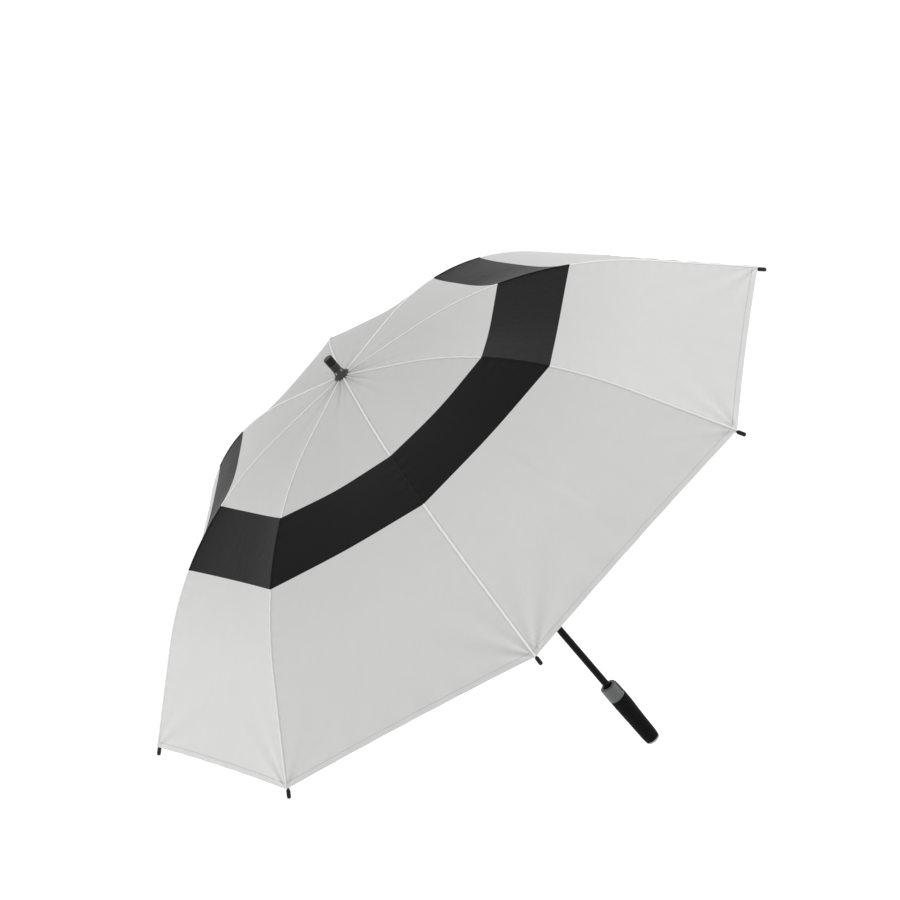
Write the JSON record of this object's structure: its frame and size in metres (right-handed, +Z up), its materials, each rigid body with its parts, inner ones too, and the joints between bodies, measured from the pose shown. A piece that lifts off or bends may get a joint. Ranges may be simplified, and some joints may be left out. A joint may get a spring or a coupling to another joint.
{
  "type": "golf umbrella",
  "caption": "Open golf umbrella with a shallow octagonal canopy, curved ribs, sliding runner, straight shaft, grey collar with push button and tapered grip.",
  "frame": {"origin": "centre of the flat end of the handle", "axes": "+Z up the shaft from the handle to the ferrule; rib 1 and the release button point along +X"},
  "size_m": [1.3186, 1.3186, 0.93],
  "materials": {
    "black_tube": "satin black",
    "spring_steel": "bright drawn wire",
    "black_plastic": "fine moulded grain",
    "gunmetal": "dark polished plating",
    "gloss_black": "gloss",
    "grip_rubber": "soft touch",
    "collar_grey": "fine moulded grain",
    "end_silver": "satin",
    "fibreglass": "drawn fibreglass, semi-gloss",
    "stretcher_steel": "semi-gloss black",
    "canopy_fabric": "taut coated pongee, white with a black band",
    "strap_fabric": "folded pongee"
  },
  "bodies": {
    "shaft_assembly": {"shaft_tube": "black_tube", "spring_seat": "black_plastic", "crown": "black_plastic", "crown_wire": "spring_steel", "canopy_washer": "black_plastic", "ferrule_body": "gunmetal", "ferrule_cap": "gloss_black", "handle_core": "black_plastic", "handle_grip": "grip_rubber", "handle_collar": "collar_grey", "end_ring": "end_silver", "end_cap": "black_plastic", "opening_spring": "spring_steel"},
    "release_button": {"release_button": "gloss_black", "latch_spring": "spring_steel"},
    "runner": {"runner": "black_plastic", "runner_wire": "spring_steel", "cross_pin": "spring_steel", "plunger": "black_plastic"},
    "rib_inner_1": {"rib_inner_1": "fibreglass", "canopy_panel_1": "canopy_fabric"},
    "rib_outer_1": {"rib_outer_1": "fibreglass", "rib_tip_1": "gloss_black"},
    "stretcher_1": {"stretcher_1": "stretcher_steel"},
    "rib_inner_2": {"rib_inner_2": "fibreglass", "canopy_panel_2": "canopy_fabric"},
    "rib_outer_2": {"rib_outer_2": "fibreglass", "rib_tip_2": "gloss_black"},
    "stretcher_2": {"stretcher_2": "stretcher_steel"},
    "rib_inner_3": {"rib_inner_3": "fibreglass", "canopy_panel_3": "canopy_fabric"},
    "rib_outer_3": {"rib_outer_3": "fibreglass", "rib_tip_3": "gloss_black", "tie_strap": "strap_fabric"},
    "stretcher_3": {"stretcher_3": "stretcher_steel"},
    "rib_inner_4": {"rib_inner_4": "fibreglass", "canopy_panel_4": "canopy_fabric"},
    "rib_outer_4": {"rib_outer_4": "fibreglass", "rib_tip_4": "gloss_black"},
    "stretcher_4": {"stretcher_4": "stretcher_steel"},
    "rib_inner_5": {"rib_inner_5": "fibreglass", "canopy_panel_5": "canopy_fabric"},
    "rib_outer_5": {"rib_outer_5": "fibreglass", "rib_tip_5": "gloss_black"},
    "stretcher_5": {"stretcher_5": "stretcher_steel"},
    "rib_inner_6": {"rib_inner_6": "fibreglass", "canopy_panel_6": "canopy_fabric"},
    "rib_outer_6": {"rib_outer_6": "fibreglass", "rib_tip_6": "gloss_black"},
    "stretcher_6": {"stretcher_6": "stretcher_steel"},
    "rib_inner_7": {"rib_inner_7": "fibreglass", "canopy_panel_7": "canopy_fabric"},
    "rib_outer_7": {"rib_outer_7": "fibreglass", "rib_tip_7": "gloss_black"},
    "stretcher_7": {"stretcher_7": "stretcher_steel"},
    "rib_inner_8": {"rib_inner_8": "fibreglass", "canopy_panel_8": "canopy_fabric"},
    "rib_outer_8": {"rib_outer_8": "fibreglass", "rib_tip_8": "gloss_black"},
    "stretcher_8": {"stretcher_8": "stretcher_steel"}
  },
  "joints": [
    {"name": "rib_fold_1", "type": "hinge", "parent": "shaft_assembly", "child": "rib_inner_1", "pos_m": [0.011, 0, 0.881], "axis": [0, 1, 0], "range_deg": [0, 76.7], "stiffness_Nm_per_rad": 6, "springref_deg": -57.3, "deforming": ["canopy_panel_1", "opening_spring", "tie_strap", "latch_spring"]},
    {"name": "rib_fold_2", "type": "hinge", "parent": "shaft_assembly", "child": "rib_inner_2", "pos_m": [0.00778, 0.00778, 0.881], "axis": [-0.7071, 0.7071, 0], "range_deg": [0, 76.7], "deforming": ["canopy_panel_2"]},
    {"name": "rib_fold_3", "type": "hinge", "parent": "shaft_assembly", "child": "rib_inner_3", "pos_m": [0, 0.011, 0.881], "axis": [-1, 0, 0], "range_deg": [0, 76.7], "deforming": ["canopy_panel_3"]},
    {"name": "rib_fold_4", "type": "hinge", "parent": "shaft_assembly", "child": "rib_inner_4", "pos_m": [-0.00778, 0.00778, 0.881], "axis": [-0.7071, -0.7071, 0], "range_deg": [0, 76.7], "deforming": ["canopy_panel_4"]},
    {"name": "rib_fold_5", "type": "hinge", "parent": "shaft_assembly", "child": "rib_inner_5", "pos_m": [-0.011, 0, 0.881], "axis": [0, -1, 0], "range_deg": [0, 76.7], "deforming": ["canopy_panel_5"]},
    {"name": "rib_fold_6", "type": "hinge", "parent": "shaft_assembly", "child": "rib_inner_6", "pos_m": [-0.00778, -0.00778, 0.881], "axis": [0.7071, -0.7071, 0], "range_deg": [0, 76.7], "deforming": ["canopy_panel_6"]},
    {"name": "rib_fold_7", "type": "hinge", "parent": "shaft_assembly", "child": "rib_inner_7", "pos_m": [0, -0.011, 0.881], "axis": [1, 0, 0], "range_deg": [0, 76.7], "deforming": ["canopy_panel_7"]},
    {"name": "rib_fold_8", "type": "hinge", "parent": "shaft_assembly", "child": "rib_inner_8", "pos_m": [0.00778, -0.00778, 0.881], "axis": [0.7071, 0.7071, 0], "range_deg": [0, 76.7], "deforming": ["canopy_panel_8"]},
    {"name": "rib_flex_1", "type": "hinge", "parent": "rib_inner_1", "child": "rib_outer_1", "pos_m": [0.3616, 0, 0.81045], "axis": [0, 1, 0], "range_deg": [-26.8, 0]},
    {"name": "stretcher_swing_1", "type": "hinge", "parent": "rib_inner_1", "child": "stretcher_1", "pos_m": [0.34614, 0, 0.80797], "axis": [0, 1, 0], "range_deg": [-153.4, 0]},
    {"name": "rib_flex_2", "type": "hinge", "parent": "rib_inner_2", "child": "rib_outer_2", "pos_m": [0.25569, 0.25569, 0.81045], "axis": [-0.7071, 0.7071, 0], "range_deg": [-26.8, 0]},
    {"name": "stretcher_swing_2", "type": "hinge", "parent": "rib_inner_2", "child": "stretcher_2", "pos_m": [0.24476, 0.24476, 0.80797], "axis": [-0.7071, 0.7071, 0], "range_deg": [-153.4, 0]},
    {"name": "rib_flex_3", "type": "hinge", "parent": "rib_inner_3", "child": "rib_outer_3", "pos_m": [0, 0.3616, 0.81045], "axis": [-1, 0, 0], "range_deg": [-26.8, 0]},
    {"name": "stretcher_swing_3", "type": "hinge", "parent": "rib_inner_3", "child": "stretcher_3", "pos_m": [0, 0.34614, 0.80797], "axis": [-1, 0, 0], "range_deg": [-153.4, 0]},
    {"name": "rib_flex_4", "type": "hinge", "parent": "rib_inner_4", "child": "rib_outer_4", "pos_m": [-0.25569, 0.25569, 0.81045], "axis": [-0.7071, -0.7071, 0], "range_deg": [-26.8, 0]},
    {"name": "stretcher_swing_4", "type": "hinge", "parent": "rib_inner_4", "child": "stretcher_4", "pos_m": [-0.24476, 0.24476, 0.80797], "axis": [-0.7071, -0.7071, 0], "range_deg": [-153.4, 0]},
    {"name": "rib_flex_5", "type": "hinge", "parent": "rib_inner_5", "child": "rib_outer_5", "pos_m": [-0.3616, 0, 0.81045], "axis": [0, -1, 0], "range_deg": [-26.8, 0]},
    {"name": "stretcher_swing_5", "type": "hinge", "parent": "rib_inner_5", "child": "stretcher_5", "pos_m": [-0.34614, 0, 0.80797], "axis": [0, -1, 0], "range_deg": [-153.4, 0]},
    {"name": "rib_flex_6", "type": "hinge", "parent": "rib_inner_6", "child": "rib_outer_6", "pos_m": [-0.25569, -0.25569, 0.81045], "axis": [0.7071, -0.7071, 0], "range_deg": [-26.8, 0]},
    {"name": "stretcher_swing_6", "type": "hinge", "parent": "rib_inner_6", "child": "stretcher_6", "pos_m": [-0.24476, -0.24476, 0.80797], "axis": [0.7071, -0.7071, 0], "range_deg": [-153.4, 0]},
    {"name": "rib_flex_7", "type": "hinge", "parent": "rib_inner_7", "child": "rib_outer_7", "pos_m": [0, -0.3616, 0.81045], "axis": [1, 0, 0], "range_deg": [-26.8, 0]},
    {"name": "stretcher_swing_7", "type": "hinge", "parent": "rib_inner_7", "child": "stretcher_7", "pos_m": [0, -0.34614, 0.80797], "axis": [1, 0, 0], "range_deg": [-153.4, 0]},
    {"name": "rib_flex_8", "type": "hinge", "parent": "rib_inner_8", "child": "rib_outer_8", "pos_m": [0.25569, -0.25569, 0.81045], "axis": [0.7071, 0.7071, 0], "range_deg": [-26.8, 0]},
    {"name": "stretcher_swing_8", "type": "hinge", "parent": "rib_inner_8", "child": "stretcher_8", "pos_m": [0.24476, -0.24476, 0.80797], "axis": [0.7071, 0.7071, 0], "range_deg": [-153.4, 0]},
    {"name": "runner_hinge", "type": "hinge", "parent": "stretcher_1", "child": "runner", "pos_m": [0.011, 0, 0.73494], "axis": [0, 1, 0], "range_deg": [0, 76.7]},
    {"name": "button_press", "type": "slide", "parent": "shaft_assembly", "child": "release_button", "axis": [-1, 0, 0], "range_m": [0, 0.002], "stiffness_N_per_m": 900, "springref_m": -0.002}
  ],
  "couplings": [
    {"joint": "rib_flex_1", "follows": "rib_fold_1", "ratio": -0.34873},
    {"joint": "stretcher_swing_1", "follows": "rib_fold_1", "ratio": -2},
    {"joint": "rib_fold_2", "follows": "rib_fold_1", "ratio": 1},
    {"joint": "rib_flex_2", "follows": "rib_fold_1", "ratio": -0.34873},
    {"joint": "stretcher_swing_2", "follows": "rib_fold_1", "ratio": -2},
    {"joint": "rib_fold_3", "follows": "rib_fold_1", "ratio": 1},
    {"joint": "rib_flex_3", "follows": "rib_fold_1", "ratio": -0.34873},
    {"joint": "stretcher_swing_3", "follows": "rib_fold_1", "ratio": -2},
    {"joint": "rib_fold_4", "follows": "rib_fold_1", "ratio": 1},
    {"joint": "rib_flex_4", "follows": "rib_fold_1", "ratio": -0.34873},
    {"joint": "stretcher_swing_4", "follows": "rib_fold_1", "ratio": -2},
    {"joint": "rib_fold_5", "follows": "rib_fold_1", "ratio": 1},
    {"joint": "rib_flex_5", "follows": "rib_fold_1", "ratio": -0.34873},
    {"joint": "stretcher_swing_5", "follows": "rib_fold_1", "ratio": -2},
    {"joint": "rib_fold_6", "follows": "rib_fold_1", "ratio": 1},
    {"joint": "rib_flex_6", "follows": "rib_fold_1", "ratio": -0.34873},
    {"joint": "stretcher_swing_6", "follows": "rib_fold_1", "ratio": -2},
    {"joint": "rib_fold_7", "follows": "rib_fold_1", "ratio": 1},
    {"joint": "rib_flex_7", "follows": "rib_fold_1", "ratio": -0.34873},
    {"joint": "stretcher_swing_7", "follows": "rib_fold_1", "ratio": -2},
    {"joint": "rib_fold_8", "follows": "rib_fold_1", "ratio": 1},
    {"joint": "rib_flex_8", "follows": "rib_fold_1", "ratio": -0.34873},
    {"joint": "stretcher_swing_8", "follows": "rib_fold_1", "ratio": -2},
    {"joint": "runner_hinge", "follows": "rib_fold_1", "ratio": 1}
  ]
}
